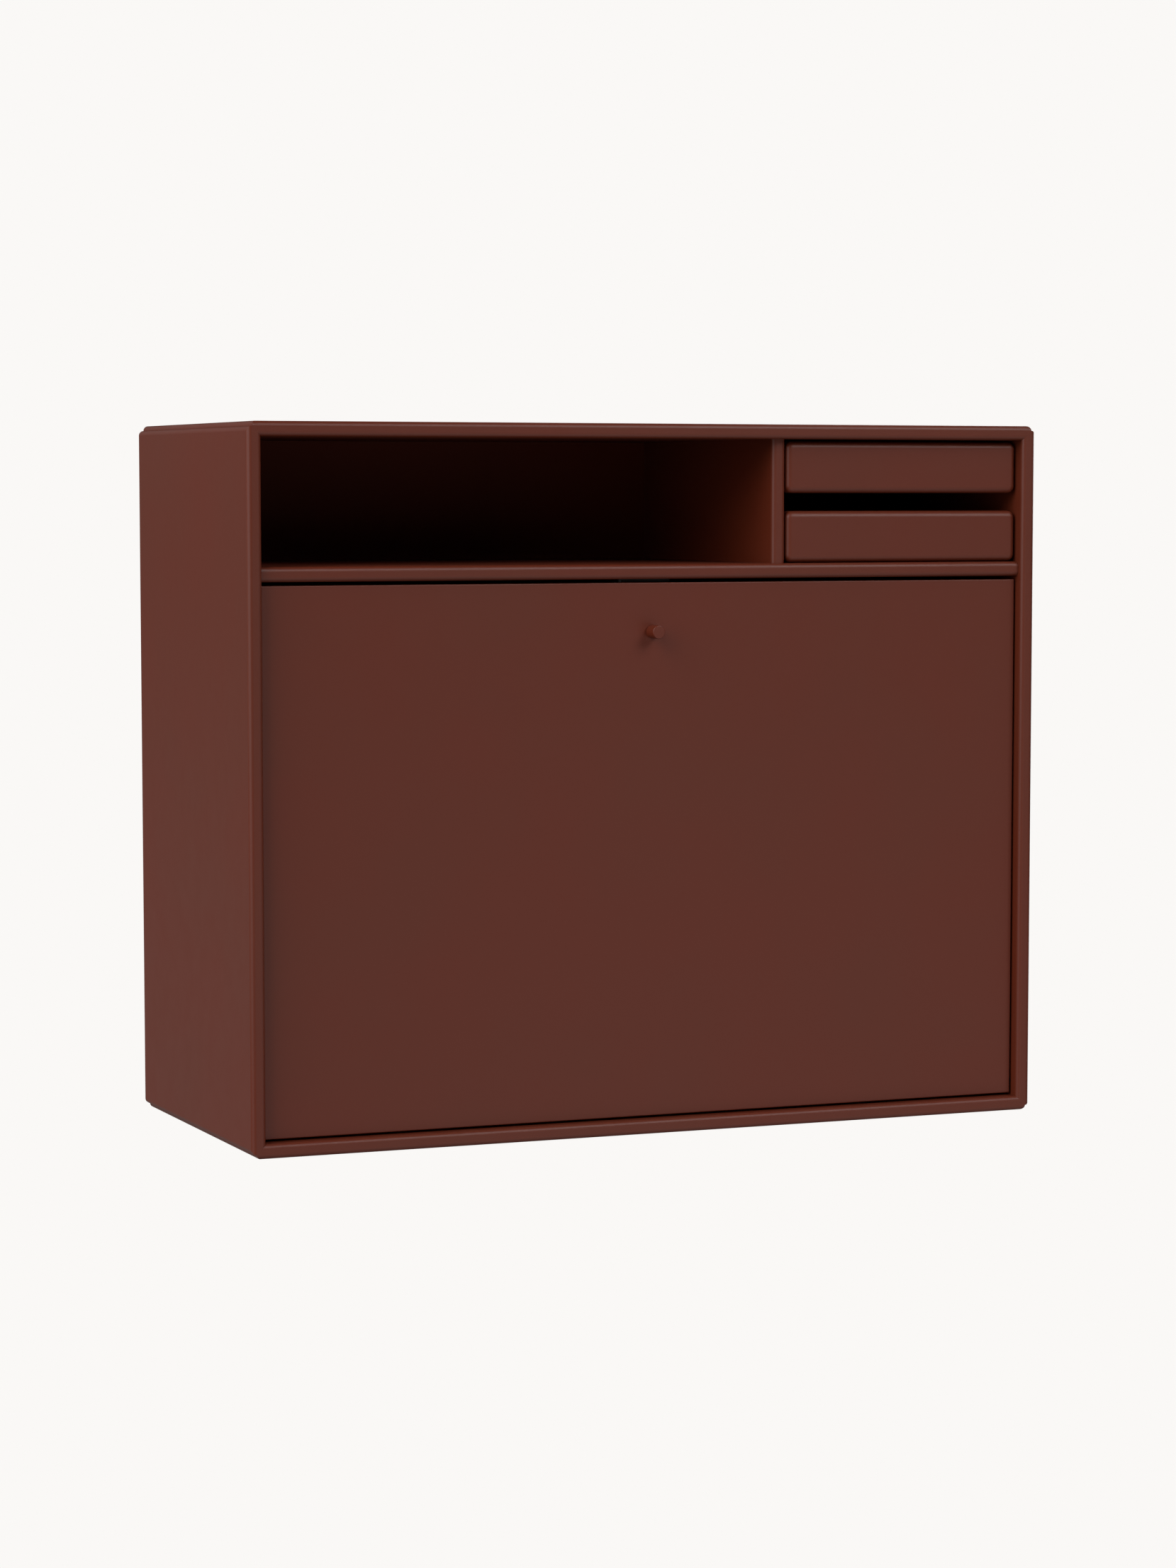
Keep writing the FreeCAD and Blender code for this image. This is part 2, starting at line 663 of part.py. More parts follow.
def guide_bracket():
    """Pressed steel hat that carries the guide's trunnion clear of the side panel."""
    seat = GUIDE_BRACKET_SEAT / 2
    flank = seat + HAT_RISE
    foot = flank + GUIDE_BRACKET_FOOT
    path = [(0, -foot), (0, -flank), (-HAT_RISE, -seat), (-HAT_RISE, seat), (0, flank), (0, foot)]
    corner = V(INNER_X, GUIDE_PIN.y - GUIDE_BRACKET_WIDTH / 2, GUIDE_PIN.z)
    hat = face(bent_strip(path), in_xz).extrude(V(0, GUIDE_BRACKET_WIDTH, 0))
    hat.translate(corner)
    hole = Part.makeCylinder(TRUNNION_RADIUS + RUN, INNER_X - ROD_X, GUIDE_PIN, V(1, 0, 0))
    return drilled(hat.cut(hole), guide_bracket_screw_places(), SHEET + SCREW_GRIP)


def flap_bracket_screw_places():
    x = EAR_X - FLAP_BRACKET_SCREW_IN
    return [
        (V(x, FLAP_REAR + SHEET, STAY_PIN.z + side * FLAP_BRACKET_SCREWS / 2), V(0, -1, 0))
        for side in (-1, 1)
    ]


def flap_bracket():
    """Angle bracket on the flap: base with clipped corners, and a round-ended ear that holds the pin."""
    half = FLAP_BRACKET_HEIGHT / 2
    base = box(
        (EAR_X - FLAP_BRACKET_WIDTH, EAR_X),
        (FLAP_REAR, FLAP_REAR + SHEET),
        (STAY_PIN.z - half, STAY_PIN.z + half),
    )
    corners = [e for e in edges_along(base, V(0, 1, 0)) if e.BoundBox.XMax < EAR_X - FIT]
    base = base.makeChamfer(FLAP_BRACKET_CORNER, corners)
    ear = [
        (FLAP_REAR, -half),
        (FLAP_REAR + SHEET, -half),
        (STAY_PIN_Y, -EYE_RADIUS),
        ((STAY_PIN_Y + EYE_RADIUS, 0), (STAY_PIN_Y, EYE_RADIUS)),
        (FLAP_REAR + SHEET, half),
        (FLAP_REAR, half),
    ]
    plate = face(ear, lambda y, z: V(EAR_X, y, STAY_PIN.z + z)).extrude(V(-SHEET, 0, 0))
    bracket = base.fuse(plate).removeSplitter().cut(stay_pin(FIT))
    return drilled(bracket, flap_bracket_screw_places(), SHEET + FLAP - SCREW_COVER)


def stay_pin(room=0.0):
    """Headed pin through the rod's eye, pressed into the ear, or the hole for it where room is given."""
    inner = V(EAR_X - SHEET, STAY_PIN.y, STAY_PIN.z)
    length = SHEET + EYE_WIDTH + 2 * PLAY
    shank = Part.makeCylinder(EYE_PIN_RADIUS + room, length, inner, V(1, 0, 0))
    if room:
        return shank
    rim = EYE_PIN_RADIUS + PIN_HEAD_RIM
    head = faceted([(rim, 0), (rim, PIN_HEAD)], inner + V(length, 0, 0), V(1, 0, 0))
    return shank.fuse(head).removeSplitter()


# Magnetic catch

CATCH_FRONT = FLAP_REAR + STRIKE + PLAY
MAGNET_Z = FLAP_TOP - STRIKE_DROP - STRIKE_HEIGHT / 2


def catch_screw_places():
    y = CATCH_FRONT + MAGNET_PROUD + CATCH_DEPTH / 2
    return [
        (V(side * CATCH_SCREWS / 2, y, SHELF_BOTTOM - CATCH_HEIGHT), V(0, 0, 1))
        for side in (-1, 1)
    ]


def catch_magnet():
    return box(
        (-MAGNET_WIDTH / 2, MAGNET_WIDTH / 2),
        (CATCH_FRONT, CATCH_FRONT + MAGNET_PROUD + MAGNET_DEPTH),
        (MAGNET_Z - MAGNET_HEIGHT / 2, MAGNET_Z + MAGNET_HEIGHT / 2),
    )


def catch_housing():
    front = CATCH_FRONT + MAGNET_PROUD
    block = box(
        (-CATCH_WIDTH / 2, CATCH_WIDTH / 2),
        (front, front + CATCH_DEPTH),
        (SHELF_BOTTOM - CATCH_HEIGHT, SHELF_BOTTOM),
    )
    block = block.makeChamfer(CATCH_CHAMFER, edges_along(block, V(0, 0, 1))).cut(catch_magnet())
    return drilled(block, catch_screw_places(), CATCH_HEIGHT + SCREW_GRIP)


def strike_screw_places():
    return [
        (V(side * STRIKE_SCREWS / 2, FLAP_REAR + STRIKE, MAGNET_Z), V(0, -1, 0))
        for side in (-1, 1)
    ]


def strike_plate():
    plate = box(
        (-STRIKE_WIDTH / 2, STRIKE_WIDTH / 2),
        (FLAP_REAR, FLAP_REAR + STRIKE),
        (MAGNET_Z - STRIKE_HEIGHT / 2, MAGNET_Z + STRIKE_HEIGHT / 2),
    )
    plate = plate.makeChamfer(STRIKE_CORNER, edges_along(plate, V(0, 1, 0)))
    return drilled(plate, strike_screw_places(), STRIKE + FLAP - SCREW_COVER, STRIKE_SCREW_RADIUS)


# Assembly

def carcass_nodes():
    top = turned(carcass_board(WIDTH), 0, 0, INNER_TOP)
    bottom = turned(carcass_board(WIDTH), 180, 0, INNER_BOTTOM)
    right = turned(carcass_board(HEIGHT), 90, INNER_X, MID_Z)
    left = turned(carcass_board(HEIGHT), -90, -INNER_X, MID_Z)
    splines = corner_splines()
    side_holes = splines + dowel_holes(shelf_dowel_places())
    fixings = hanger_screw_places() + guide_bracket_screw_places()
    right = drilled(right.cut(side_holes + [pivot_bush(FIT)]), fixings, SHEET + SCREW_GRIP)
    left = mirrored(drilled(mirrored(left).cut(pivot_bush(FIT)), fixings, SHEET + SCREW_GRIP)).cut(side_holes)
    partition = divider()
    for base in tray_floor_heights().values():
        right = drilled(right, runner_screw_places(base, INNER_X, -1), RUNNER_WIDTH + SCREW_GRIP)
        partition = drilled(partition, runner_screw_places(base, BAY_LEFT, 1), RUNNER_WIDTH + SCREW_GRIP)
    joint_dowels = shelf_dowel_places() + divider_dowel_places()
    return {
        "top_panel": top.cut(splines + dowel_holes(divider_dowel_places())),
        "bottom_panel": bottom.cut(splines),
        "right_side_panel": right,
        "left_side_panel": left,
        "back_panel": back_panel(),
        "middle_shelf": drilled(middle_shelf(), catch_screw_places(), CATCH_HEIGHT + SCREW_GRIP),
        "divider": partition,
        "corner_splines": Part.makeCompound(splines),
        "joint_dowels": Part.makeCompound([dowel(end, axis) for end, axis in joint_dowels]),
        "wall_rail": wall_rail(),
        "right_hanger": hanger(),
        "left_hanger": mirrored(hanger()),
        "hanger_screws": both(screws(hanger_screw_places(), SHEET + SCREW_GRIP)),
        "pivot_bushes": both(pivot_bush()),
        "catch_housing": catch_housing(),
        "catch_magnet": catch_magnet(),
        "catch_screws": screws(catch_screw_places(), CATCH_HEIGHT + SCREW_GRIP),
        "right_guide_bracket": guide_bracket(),
        "left_guide_bracket": mirrored(guide_bracket()),
        "guide_bracket_screws": both(screws(guide_bracket_screw_places(), SHEET + SCREW_GRIP)),
    }


def tray_nodes():
    nodes = {}
    runner_places = []
    for name, base in tray_floor_heights().items():
        front = tray_front(base).cut(tray_floor(base))
        nodes[f"{name}_tray_front"] = front
        nodes[f"{name}_tray_left_side"] = tray_side(base, BAY_LEFT + TRAY_SIDE_GAP, 1)
        nodes[f"{name}_tray_right_side"] = tray_side(base, INNER_X - TRAY_SIDE_GAP, -1)
        nodes[f"{name}_tray_back"] = tray_back(base)
        nodes[f"{name}_tray_floor"] = tray_floor(base)
        nodes[f"{name}_left_runner"] = runner(base, BAY_LEFT, 1)
        nodes[f"{name}_right_runner"] = runner(base, INNER_X, -1)
        runner_places += runner_screw_places(base, BAY_LEFT, 1)
        runner_places += runner_screw_places(base, INNER_X, -1)
    nodes["runner_screws"] = screws(runner_places, RUNNER_WIDTH + SCREW_GRIP)
    return nodes


def flap_nodes():
    bracket_grip = SHEET + FLAP - SCREW_COVER
    strike_grip = STRIKE + FLAP - SCREW_COVER
    right_places = flap_bracket_screw_places()
    panel = drilled(flap_panel(), right_places, bracket_grip)
    panel = drilled(mirrored(panel), right_places, bracket_grip)
    return {
        "flap_panel": drilled(panel, strike_screw_places(), strike_grip, STRIKE_SCREW_RADIUS),
        "flap_knob": knob(),
        "knob_screw": knob_screw(),
        "pivot_pins": both(pivot_pin()),
        "strike_plate": strike_plate(),
        "strike_screws": screws(strike_screw_places(), strike_grip, STRIKE_SCREW_RADIUS),
        "right_flap_bracket": flap_bracket(),
        "left_flap_bracket": mirrored(flap_bracket()),
        "flap_bracket_screws": both(screws(right_places, bracket_grip)),
        "stay_pins": both(stay_pin()),
    }


def stay_nodes():
    pieces = {
        "stay_rod": stay_rod(),
        "stay_guide": stay_guide(),
    }
    nodes = {}
    for name, piece in pieces.items():
        nodes[f"right_{name}"] = piece
        nodes[f"left_{name}"] = mirrored(piece)
    return nodes


def main():
    os.makedirs("parts", exist_ok=True)
    nodes = {**carcass_nodes(), **tray_nodes(), **flap_nodes(), **stay_nodes()}
    for name, shape in nodes.items():
        shape.exportStep(f"parts/{name}.step")


main()
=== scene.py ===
"""Looks of the wall-mounted desk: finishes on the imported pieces, finer small hardware, a pale studio
and the photograph's camera. Metres, in the part's own frame."""
import json
import math

import bmesh
import bpy
from mathutils import Matrix, Vector


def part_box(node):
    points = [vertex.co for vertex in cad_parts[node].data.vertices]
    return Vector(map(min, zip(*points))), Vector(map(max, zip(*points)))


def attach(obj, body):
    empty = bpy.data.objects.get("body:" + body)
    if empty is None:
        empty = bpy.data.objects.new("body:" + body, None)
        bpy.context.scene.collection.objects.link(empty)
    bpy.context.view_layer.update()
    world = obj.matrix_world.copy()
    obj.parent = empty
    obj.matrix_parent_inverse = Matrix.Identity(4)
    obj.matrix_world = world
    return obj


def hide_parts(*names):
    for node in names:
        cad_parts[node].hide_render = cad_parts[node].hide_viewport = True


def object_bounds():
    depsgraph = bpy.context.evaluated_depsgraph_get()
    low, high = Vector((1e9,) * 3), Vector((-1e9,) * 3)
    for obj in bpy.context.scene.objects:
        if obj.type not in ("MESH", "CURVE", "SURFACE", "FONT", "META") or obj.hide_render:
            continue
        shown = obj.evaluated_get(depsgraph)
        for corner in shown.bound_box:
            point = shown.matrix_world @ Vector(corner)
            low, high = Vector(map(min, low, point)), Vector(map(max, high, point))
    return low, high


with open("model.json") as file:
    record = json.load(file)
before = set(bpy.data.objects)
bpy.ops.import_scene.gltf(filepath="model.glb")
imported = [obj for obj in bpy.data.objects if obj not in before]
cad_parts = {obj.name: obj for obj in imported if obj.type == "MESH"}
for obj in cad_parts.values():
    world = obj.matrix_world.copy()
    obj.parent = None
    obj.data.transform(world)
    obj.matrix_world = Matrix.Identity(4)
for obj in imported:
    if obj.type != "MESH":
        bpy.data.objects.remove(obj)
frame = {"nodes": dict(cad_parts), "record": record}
nodes = frame["nodes"]
cad_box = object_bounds()

# Camera of the photograph
CAMERA_PLACE = Vector((-1.3114, -3.3199, 0.0064))
CAMERA_YAW = math.radians(22.496)  # towards the right
CAMERA_PITCH = math.radians(5.123)  # downwards
CAMERA_LENS = 92.71  # millimetres
CAMERA_SHIFT = 0.0448  # upwards, as a share of the frame's longer side

# Studio
FLOOR_DROP = 4.0  # leaves room to look at the desk from below
FLOOR_SIDE = 200.0
PALE = (0.956, 0.939, 0.922)
AMBIENT = 0.004  # share of the pale surround that lights the desk
FLOOR_GLOW = 0.30  # share of the pale floor that lights the desk
LIGHTS = (  # name, direction from the desk, distance and side in metres, power in watts
    ("left_rear_light", Vector((-0.88, 0.10, 0.45)), 6.0, 4.5, 210.0),
    ("rear_light", Vector((-0.25, 0.89, 0.38)), 6.0, 4.0, 15.0),
    ("left_light", Vector((-0.88, -0.45, 0.10)), 6.0, 3.2, 68.0),
    ("left_high_light", Vector((-0.75, -0.40, 0.60)), 6.0, 4.0, 257.0),
    ("key_light", Vector((0.38, -0.74, 0.56)), 4.0, 1.8, 71.0),
    ("right_high_light", Vector((0.55, -0.50, 0.65)), 6.0, 4.5, 34.0),
    ("right_rear_light", Vector((0.75, 0.55, 0.35)), 6.0, 4.5, 260.0),
    ("low_light", Vector((0.25, -0.75, -0.43)), 1.6, 1.8, 6.5),
)

# Lacquer
LACQUER_RED = (0.0905, 0.0142, 0.0050)
LACQUER_BROWN = (0.0865, 0.0154, 0.0059)
LACQUER_ROUGHNESS = (0.40, 0.48)
LACQUER_SHEEN = 0.3
BACK_SHEEN = 0.05  # the back panel is more matt than the boards

# Screws, as shares of the head's radius unless it is a length or a count
SCREW_STEPS = 32
SCREW_HEAD = 0.93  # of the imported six-sided head's corner radius
SCREW_SHANK = 0.505
SCREW_TIP = 0.23  # radius of the blunt point
SCREW_POINT = 1.0  # length of the point
SCREW_SEAT = 0.96  # top of the countersink
SCREW_RIM = 1.08  # covers the corners of the six-sided seat
SCREW_PROUD = 0.00018  # metres that the rim stands above the sheet
RECESS_ARM = 1.32  # across the cutting cross at its wide end, which stands clear of the head
RECESS_WIDTH = 0.42  # across one arm at that end
RECESS_TAPER = 0.73  # foot of the cross against its wide end
RECESS_DEPTH = 0.45

# Knob, in metres
KNOB_STEPS = 96
KNOB_ROUND = 0.0008
KNOB_REBATE = 0.0005
KNOB_FOOT_CHAMFER = 0.0002

ROUND_STEPS = 6  # faces on a quarter round
SMOOTH_ANGLE = math.radians(35)
WELD = 1e-6  # metres between points that count as one
END_DEPTH = 0.01  # share of a fastener's length within which a point lies on its end


# Materials

class Finish:
    """Material under way: its principled shader and the nodes that feed it."""

    RAMP = (0.35, 0.65)  # stretch of a noise over which two colours blend

    def __init__(self, name):
        self.material = bpy.data.materials.new(name)
        self.material.use_nodes = True
        self.tree = self.material.node_tree
        self.shader = self.tree.nodes["Principled BSDF"]

    def add(self, kind, settings=None, links=None):
        """New node with its settings, or input values, and its linked inputs."""
        node = self.tree.nodes.new(kind)
        for key, value in (settings or {}).items():
            if key in node.inputs:
                node.inputs[key].default_value = value
            else:
                setattr(node, key, value)
        for key, source in (links or {}).items():
            self.tree.links.new(source, node.inputs[key])
        return node

    def feed(self, **sources):
        """Link outputs to the shader's inputs, with _ for a space in the input's name."""
        for socket, source in sources.items():
            self.tree.links.new(source, self.shader.inputs[socket.replace("_", " ")])

    def hold(self, socket, value):
        """Value that is the same all over the surface."""
        self.shader.inputs[socket].default_value = value

    def place(self, stretch=(1, 1, 1)):
        """Place on the object, stretched along its axes."""
        coordinates = self.add("ShaderNodeTexCoord")
        links = {"Vector": coordinates.outputs["Object"]}
        return self.add("ShaderNodeMapping", {"Scale": stretch}, links).outputs["Vector"]

    def noise(self, place, scale, detail=2.0, roughness=0.5):
        settings = {"Scale": scale, "Detail": detail, "Roughness": roughness}
        return self.add("ShaderNodeTexNoise", settings, {"Vector": place}).outputs["Fac"]

    def blend(self, share, low, high):
        """Colour between two ends."""
        ramp = self.add("ShaderNodeValToRGB", links={"Fac": share})
        for element, position, colour in zip(ramp.color_ramp.elements, self.RAMP, (low, high)):
            element.position = position
            element.color = (*colour, 1)
        return ramp.outputs["Color"]

    def between(self, share, low, high):
        """Number between two ends."""
        settings = {"To Min": low, "To Max": high}
        return self.add("ShaderNodeMapRange", settings, {"Value": share}).outputs["Result"]

    def bump(self, height, strength, distance):
        settings = {"Strength": strength, "Distance": distance}
        return self.add("ShaderNodeBump", settings, {"Height": height}).outputs["Normal"]


def lacquer(name, level):
    """Matt lacquer sprayed on board: slight drift of hue, uneven sheen and a fine orange peel."""
    finish = Finish(name)
    place = finish.place()
    drift = finish.noise(place, scale=7.0, detail=3.0)
    sheen = finish.noise(place, scale=45.0, detail=4.0)
    peel = finish.noise(place, scale=700.0)
    finish.feed(
        Base_Color=finish.blend(drift, LACQUER_RED, LACQUER_BROWN),
        Roughness=finish.between(sheen, *LACQUER_ROUGHNESS),
        Normal=finish.bump(peel, strength=0.12, distance=0.0002),
    )
    finish.hold("Specular IOR Level", level)
    return finish.material


def zinc_steel():
    """Zinc-plated steel: cloudy tone and a fine satin grain."""
    finish = Finish("zinc_steel")
    place = finish.place()
    cloud = finish.noise(place, scale=70.0, detail=4.0)
    grain = finish.noise(place, scale=1500.0, detail=3.0)
    finish.feed(
        Base_Color=finish.blend(cloud, low=(0.49, 0.495, 0.50), high=(0.61, 0.61, 0.60)),
        Roughness=finish.between(cloud, low=0.27, high=0.37),
        Normal=finish.bump(grain, strength=0.06, distance=0.00005),
    )
    finish.hold("Metallic", 1.0)
    return finish.material


def gap_shade_steel():
    """Blackened sheet, near-black as painted shade, so that nothing bright shows in the gaps round the flap.
    """
    finish = Finish("gap_shade_steel")
    grain = finish.noise(finish.place(), scale=260.0, detail=5.0)
    finish.feed(
        Base_Color=finish.blend(grain, low=(0.010, 0.010, 0.011), high=(0.018, 0.018, 0.019)),
        Roughness=finish.between(grain, low=0.38, high=0.55),
        Normal=finish.bump(grain, strength=0.08, distance=0.0001),
    )
    finish.hold("Metallic", 0.6)
    return finish.material


def beech():
    """Bare beech with a grain along the depth and short darker flecks."""
    finish = Finish("beech")
    grain = finish.noise(finish.place(stretch=(60, 3, 60)), scale=4.0, detail=6.0, roughness=0.6)
    flecks = finish.noise(finish.place(stretch=(900, 90, 900)), scale=1.0, detail=1.0)
    flecked = finish.add(
        "ShaderNodeMix",
        {"data_type": "RGBA", "blend_type": "MULTIPLY", "Factor": 0.35},
        {
            "A": finish.blend(grain, low=(0.42, 0.25, 0.13), high=(0.56, 0.36, 0.21)),
            "B": finish.blend(flecks, low=(0.55, 0.42, 0.32), high=(1.0, 1.0, 1.0)),
        },
    )
    finish.feed(
        Base_Color=flecked.outputs["Result"],
        Roughness=finish.between(grain, low=0.5, high=0.65),
        Normal=finish.bump(grain, strength=0.15, distance=0.0002),
    )
    return finish.material


def dark_plastic():
    """Moulded plastic with a fine spark-eroded grain."""
    finish = Finish("dark_plastic")
    grain = finish.noise(finish.place(), scale=1800.0)
    finish.feed(
        Base_Color=finish.blend(grain, low=(0.014, 0.010, 0.009), high=(0.022, 0.016, 0.014)),
        Roughness=finish.between(grain, low=0.42, high=0.58),
        Normal=finish.bump(grain, strength=0.2, distance=0.0001),
    )
    return finish.material


def ferrite():
    """Pressed magnet: dark grey with a granular surface."""
    finish = Finish("ferrite")
    grain = finish.noise(finish.place(), scale=1200.0, detail=5.0, roughness=0.7)
    finish.feed(
        Base_Color=finish.blend(grain, low=(0.025, 0.025, 0.027), high=(0.05, 0.05, 0.052)),
        Roughness=finish.between(grain, low=0.45, high=0.7),
        Normal=finish.bump(grain, strength=0.25, distance=0.0001),
    )
    finish.hold("Metallic", 0.4)
    return finish.material


def paint(thing, material):
    thing.data.materials.clear()
    thing.data.materials.append(material)


LOOKS = {
    "lacquered_board": lacquer("lacquer", LACQUER_SHEEN),
    "zinc_plated_steel": zinc_steel(),
    "bare_hardwood": beech(),
    "dark_plastic": dark_plastic(),
}
SLOTS = {part["node"]: part["material_slot"] for part in frame["record"]["subparts"]}
for name, node in nodes.items():
    paint(node, LOOKS[SLOTS[name]])
paint(nodes["back_panel"], lacquer("back_lacquer", BACK_SHEEN))
paint(nodes["catch_magnet"], ferrite())
# Painted shade: the strike plate and pivot pins are made near-black so that the gaps round the flap read as
# dark shade
GAP_SHADE_BLACK = gap_shade_steel()
for name in ("strike_plate", "pivot_pins"):
    paint(nodes[name], GAP_SHADE_BLACK)


# Small hardware

def body_of(node_name):
    bodies = frame["record"]["behaviour"]["bodies"]
    return next(body for body, members in bodies.items() if node_name in members)


def new_piece(name, mesh, node_name):
    """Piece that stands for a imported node, rides on its body and takes its finish."""
    piece = bpy.data.objects.new(name, mesh)
    bpy.context.scene.collection.objects.link(piece)
    mesh.shade_smooth()
    mesh.set_sharp_from_angle(angle=SMOOTH_ANGLE)
    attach(piece, body_of(node_name))
    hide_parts(node_name)
    paint(piece, LOOKS[SLOTS[node_name]])


def to_mesh(form, name):
    mesh = bpy.data.meshes.new(name)
    form.to_mesh(mesh)
    form.free()
    return mesh


def to_object(form, name):
    thing = bpy.data.objects.new(name, to_mesh(form, name))
    bpy.context.scene.collection.objects.link(thing)
    return thing


def lathe(outline, steps):
    """Closed form turned about Z from (radius, height) points that begin and end on the axis."""
    form = bmesh.new()
    # The half step keeps the edges clear of the corners of a recess
    turns = [2 * math.pi * (step + 0.5) / steps for step in range(steps)]
    rings = []
    for radius, height in outline:
        around = turns if radius else turns[:1]
        places = [(radius * math.cos(turn), radius * math.sin(turn), height) for turn in around]
        rings.append([form.verts.new(place) for place in places])
    for low, high in zip(rings, rings[1:]):
        for step in range(steps):
            after = (step + 1) % steps
            if len(low) == 1:
                form.faces.new((low[0], high[after], high[step]))
            elif len(high) == 1:
                form.faces.new((low[step], low[after], high[0]))
            else:
                form.faces.new((low[step], low[after], high[after], high[step]))
    bmesh.ops.recalc_face_normals(form, faces=form.faces)
    return form


def rounded(corner, radius):
    """Points of a quarter round at an outer corner, from the side towards the end face."""
    side, end = corner
    angles = [math.pi / 2 * step / ROUND_STEPS for step in range(ROUND_STEPS + 1)]
    return [
        (side - radius + radius * math.cos(angle), end - radius + radius * math.sin(angle))
        for angle in angles
    ]


def place_along(point, axis):
    """Matrix that puts a form's Z along an axis, with its origin at a point."""
    return Matrix.Translation(point) @ axis.to_track_quat("Z", "Y").to_matrix().to_4x4()


def solids_of(node_name):
    """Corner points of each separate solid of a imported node."""
    form = bmesh.new()
    form.from_mesh(nodes[node_name].data)
    bmesh.ops.remove_doubles(form, verts=form.verts, dist=WELD)
    solids = []
    seen = set()
    for first in form.verts:
        if first in seen:
            continue
        seen.add(first)
        solid = [first]
        for vert in solid:  # the list grows while it is walked
            near = [edge.other_vert(vert) for edge in vert.link_edges]
            found = [other for other in near if other not in seen]
            seen.update(found)
            solid += found
        solids.append([vert.co.copy() for vert in solid])
    form.free()
    return solids


def fastener_facts(points):
    """Centre of a straight fastener's head, direction out of it, its corner radius, and the whole length."""
    low = Vector([min(p[i] for p in points) for i in range(3)])
    high = Vector([max(p[i] for p in points) for i in range(3)])
    middle = (low + high) / 2
    along = max(range(3), key=lambda i: high[i] - low[i])
    length = high[along] - low[along]
    ends = {}
    for sign, level in ((1, high[along]), (-1, low[along])):
        at_end = [p - middle for p in points if abs(p[along] - level) < length * END_DEPTH]
        ends[sign] = max((p.length_squared - p[along] ** 2) ** 0.5 for p in at_end)
    sign = max(ends, key=ends.get)
    axis = Vector([sign if i == along else 0 for i in range(3)])
    return middle + axis * length / 2, axis, ends[sign], length


def cross_recess(head):
    """Tool that cuts a tapered cross into a screw's head."""
    form = bmesh.new()
    rings = []
    for level, share in ((-RECESS_DEPTH, RECESS_TAPER), (RECESS_DEPTH, 1)):
        arm = RECESS_ARM / 2 * share
        side = RECESS_WIDTH / 2 * share
        quarter = [(arm, -side), (arm, side), (side, side)]
        ring = []
        for _ in range(4):
            ring += [form.verts.new(Vector((x, y, level)) * head) for x, y in quarter]
            quarter = [(-y, x) for x, y in quarter]
        rings.append(ring)
    foot, mouth = rings
    form.faces.new(foot)
    form.faces.new(mouth)
    for step in range(len(foot)):
        form.faces.new((foot[step - 1], foot[step], mouth[step], mouth[step - 1]))
    bmesh.ops.recalc_face_normals(form, faces=form.faces)
    return form


def cut(blank, tool):
    """Mesh of a blank with a tool taken out of it; both objects are used up."""
    modifier = blank.modifiers.new("cut", "BOOLEAN")
    modifier.object = tool
    modifier.solver = "EXACT"
    graph = bpy.context.evaluated_depsgraph_get()
    mesh = bpy.data.meshes.new_from_object(blank.evaluated_get(graph))
    for thing in (blank, tool):
        bpy.data.objects.remove(thing)
    return mesh


def screw_mesh(head, length):
    """Countersunk screw along -Z, its head's rim just proud of the sheet it holds."""
    rim = head * SCREW_RIM
    shank = head * SCREW_SHANK
    outline = [
        (0, -length),
        (head * SCREW_TIP, -length),
        (shank, head * SCREW_POINT - length),
        (shank, shank - head),
        (head * SCREW_SEAT, head * (SCREW_SEAT - 1)),
        *rounded((rim, SCREW_PROUD), SCREW_PROUD),
        (0, SCREW_PROUD),
    ]
    blank = to_object(lathe(outline, SCREW_STEPS), "screw_blank")
    return cut(blank, to_object(cross_recess(head), "screw_recess"))


def screw_group(node_name):
    """Detailed screws in place of a group of plain ones."""
    group = bmesh.new()
    for points in solids_of(node_name):
        point, axis, corner, length = fastener_facts(points)
        mesh = screw_mesh(corner * SCREW_HEAD, length)
        mesh.transform(place_along(point, axis))
        group.from_mesh(mesh)
        bpy.data.meshes.remove(mesh)
    name = node_name + "_detail"
    new_piece(name, to_mesh(group, name), node_name)


def knob():
    """Turned knob: shadow line at the flap, straight side, softly rounded end."""
    low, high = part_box("flap_knob")
    middle = (low + high) / 2
    radius = (high.x - low.x) / 2
    length = high.y - low.y
    neck = radius - KNOB_REBATE
    outline = [
        (0, 0),
        (neck, 0),
        (neck, KNOB_REBATE),
        (radius - KNOB_FOOT_CHAMFER, KNOB_REBATE),
        (radius, KNOB_REBATE + KNOB_FOOT_CHAMFER),
        *rounded((radius, length), KNOB_ROUND),
        (0, length),
    ]
    mesh = to_mesh(lathe(outline, KNOB_STEPS), "knob_turned")
    mesh.transform(place_along(Vector((middle.x, high.y, middle.z)), Vector((0, -1, 0))))
    new_piece("knob_turned", mesh, "flap_knob")


SCREW_NODES = (
    "runner_screws",
    "hanger_screws",
    "guide_bracket_screws",
    "flap_bracket_screws",
    "catch_screws",
    "strike_screws",
    "knob_screw",
)
for screw_node in SCREW_NODES:
    screw_group(screw_node)
knob()


# Studio

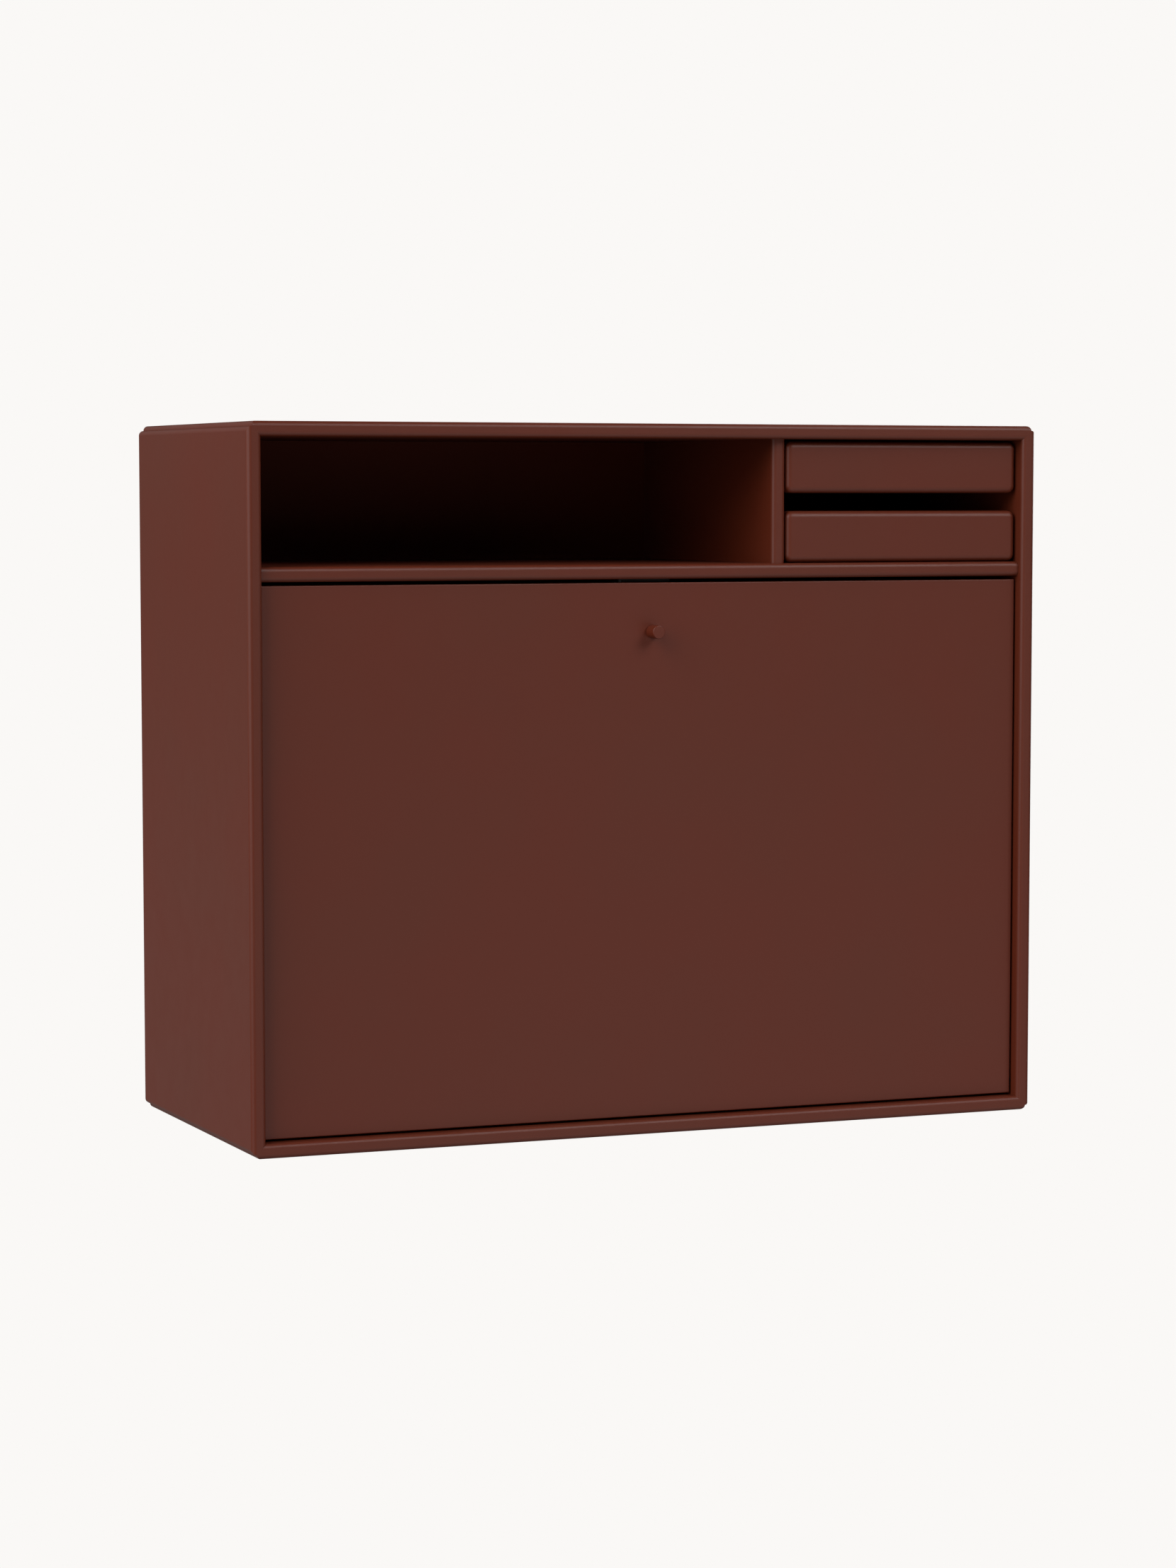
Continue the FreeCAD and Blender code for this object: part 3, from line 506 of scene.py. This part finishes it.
def pale_glow(tree, shader, share):
    """Even pale light on a shader: full strength to the camera, a share of it to the desk."""
    rays = tree.nodes.new("ShaderNodeLightPath")
    strength = tree.nodes.new("ShaderNodeMapRange")
    strength.inputs["To Min"].default_value = share
    strength.inputs["To Max"].default_value = 1.0
    tree.links.new(rays.outputs["Is Camera Ray"], strength.inputs["Value"])
    tree.links.new(strength.outputs["Result"], shader.inputs["Strength"])
    shader.inputs["Color"].default_value = (*PALE, 1)


def floor():
    """Pale floor that runs into the surround without a line."""
    half = FLOOR_SIDE / 2
    level = cad_box[0].z - FLOOR_DROP
    mesh = bpy.data.meshes.new("floor")
    corners = [(-half, -half, level), (half, -half, level), (half, half, level), (-half, half, level)]
    mesh.from_pydata(corners, [], [(0, 1, 2, 3)])
    thing = bpy.data.objects.new("floor", mesh)
    bpy.context.scene.collection.objects.link(thing)
    material = bpy.data.materials.new("pale_floor")
    material.use_nodes = True
    tree = material.node_tree
    glow = tree.nodes.new("ShaderNodeEmission")
    pale_glow(tree, glow, FLOOR_GLOW)
    tree.links.new(glow.outputs["Emission"], tree.nodes["Material Output"].inputs["Surface"])
    paint(thing, material)


def surround():
    """Pale surround behind the desk."""
    world = bpy.data.worlds.new("surround")
    bpy.context.scene.world = world
    world.use_nodes = True
    pale_glow(world.node_tree, world.node_tree.nodes["Background"], AMBIENT)


def softbox(name, direction, distance, side, power):
    """Square area light that faces the middle of the desk."""
    light = bpy.data.lights.new(name, "AREA")
    light.size = side
    light.energy = power
    thing = bpy.data.objects.new(name, light)
    bpy.context.scene.collection.objects.link(thing)
    middle = (cad_box[0] + cad_box[1]) / 2
    thing.location = middle + direction.normalized() * distance
    thing.rotation_mode = "QUATERNION"
    thing.rotation_quaternion = (-direction).to_track_quat("-Z", "Y")


def camera():
    """Camera at the photograph's viewing angle."""
    data = bpy.data.cameras.new("camera")
    data.lens = CAMERA_LENS
    data.shift_y = CAMERA_SHIFT
    thing = bpy.data.objects.new("camera", data)
    bpy.context.scene.collection.objects.link(thing)
    thing.location = CAMERA_PLACE
    thing.rotation_euler = (math.pi / 2 - CAMERA_PITCH, 0, -CAMERA_YAW)
    bpy.context.scene.camera = thing


floor()
surround()
for light in LIGHTS:
    softbox(*light)
camera()
bpy.context.scene.view_settings.view_transform = "Standard"
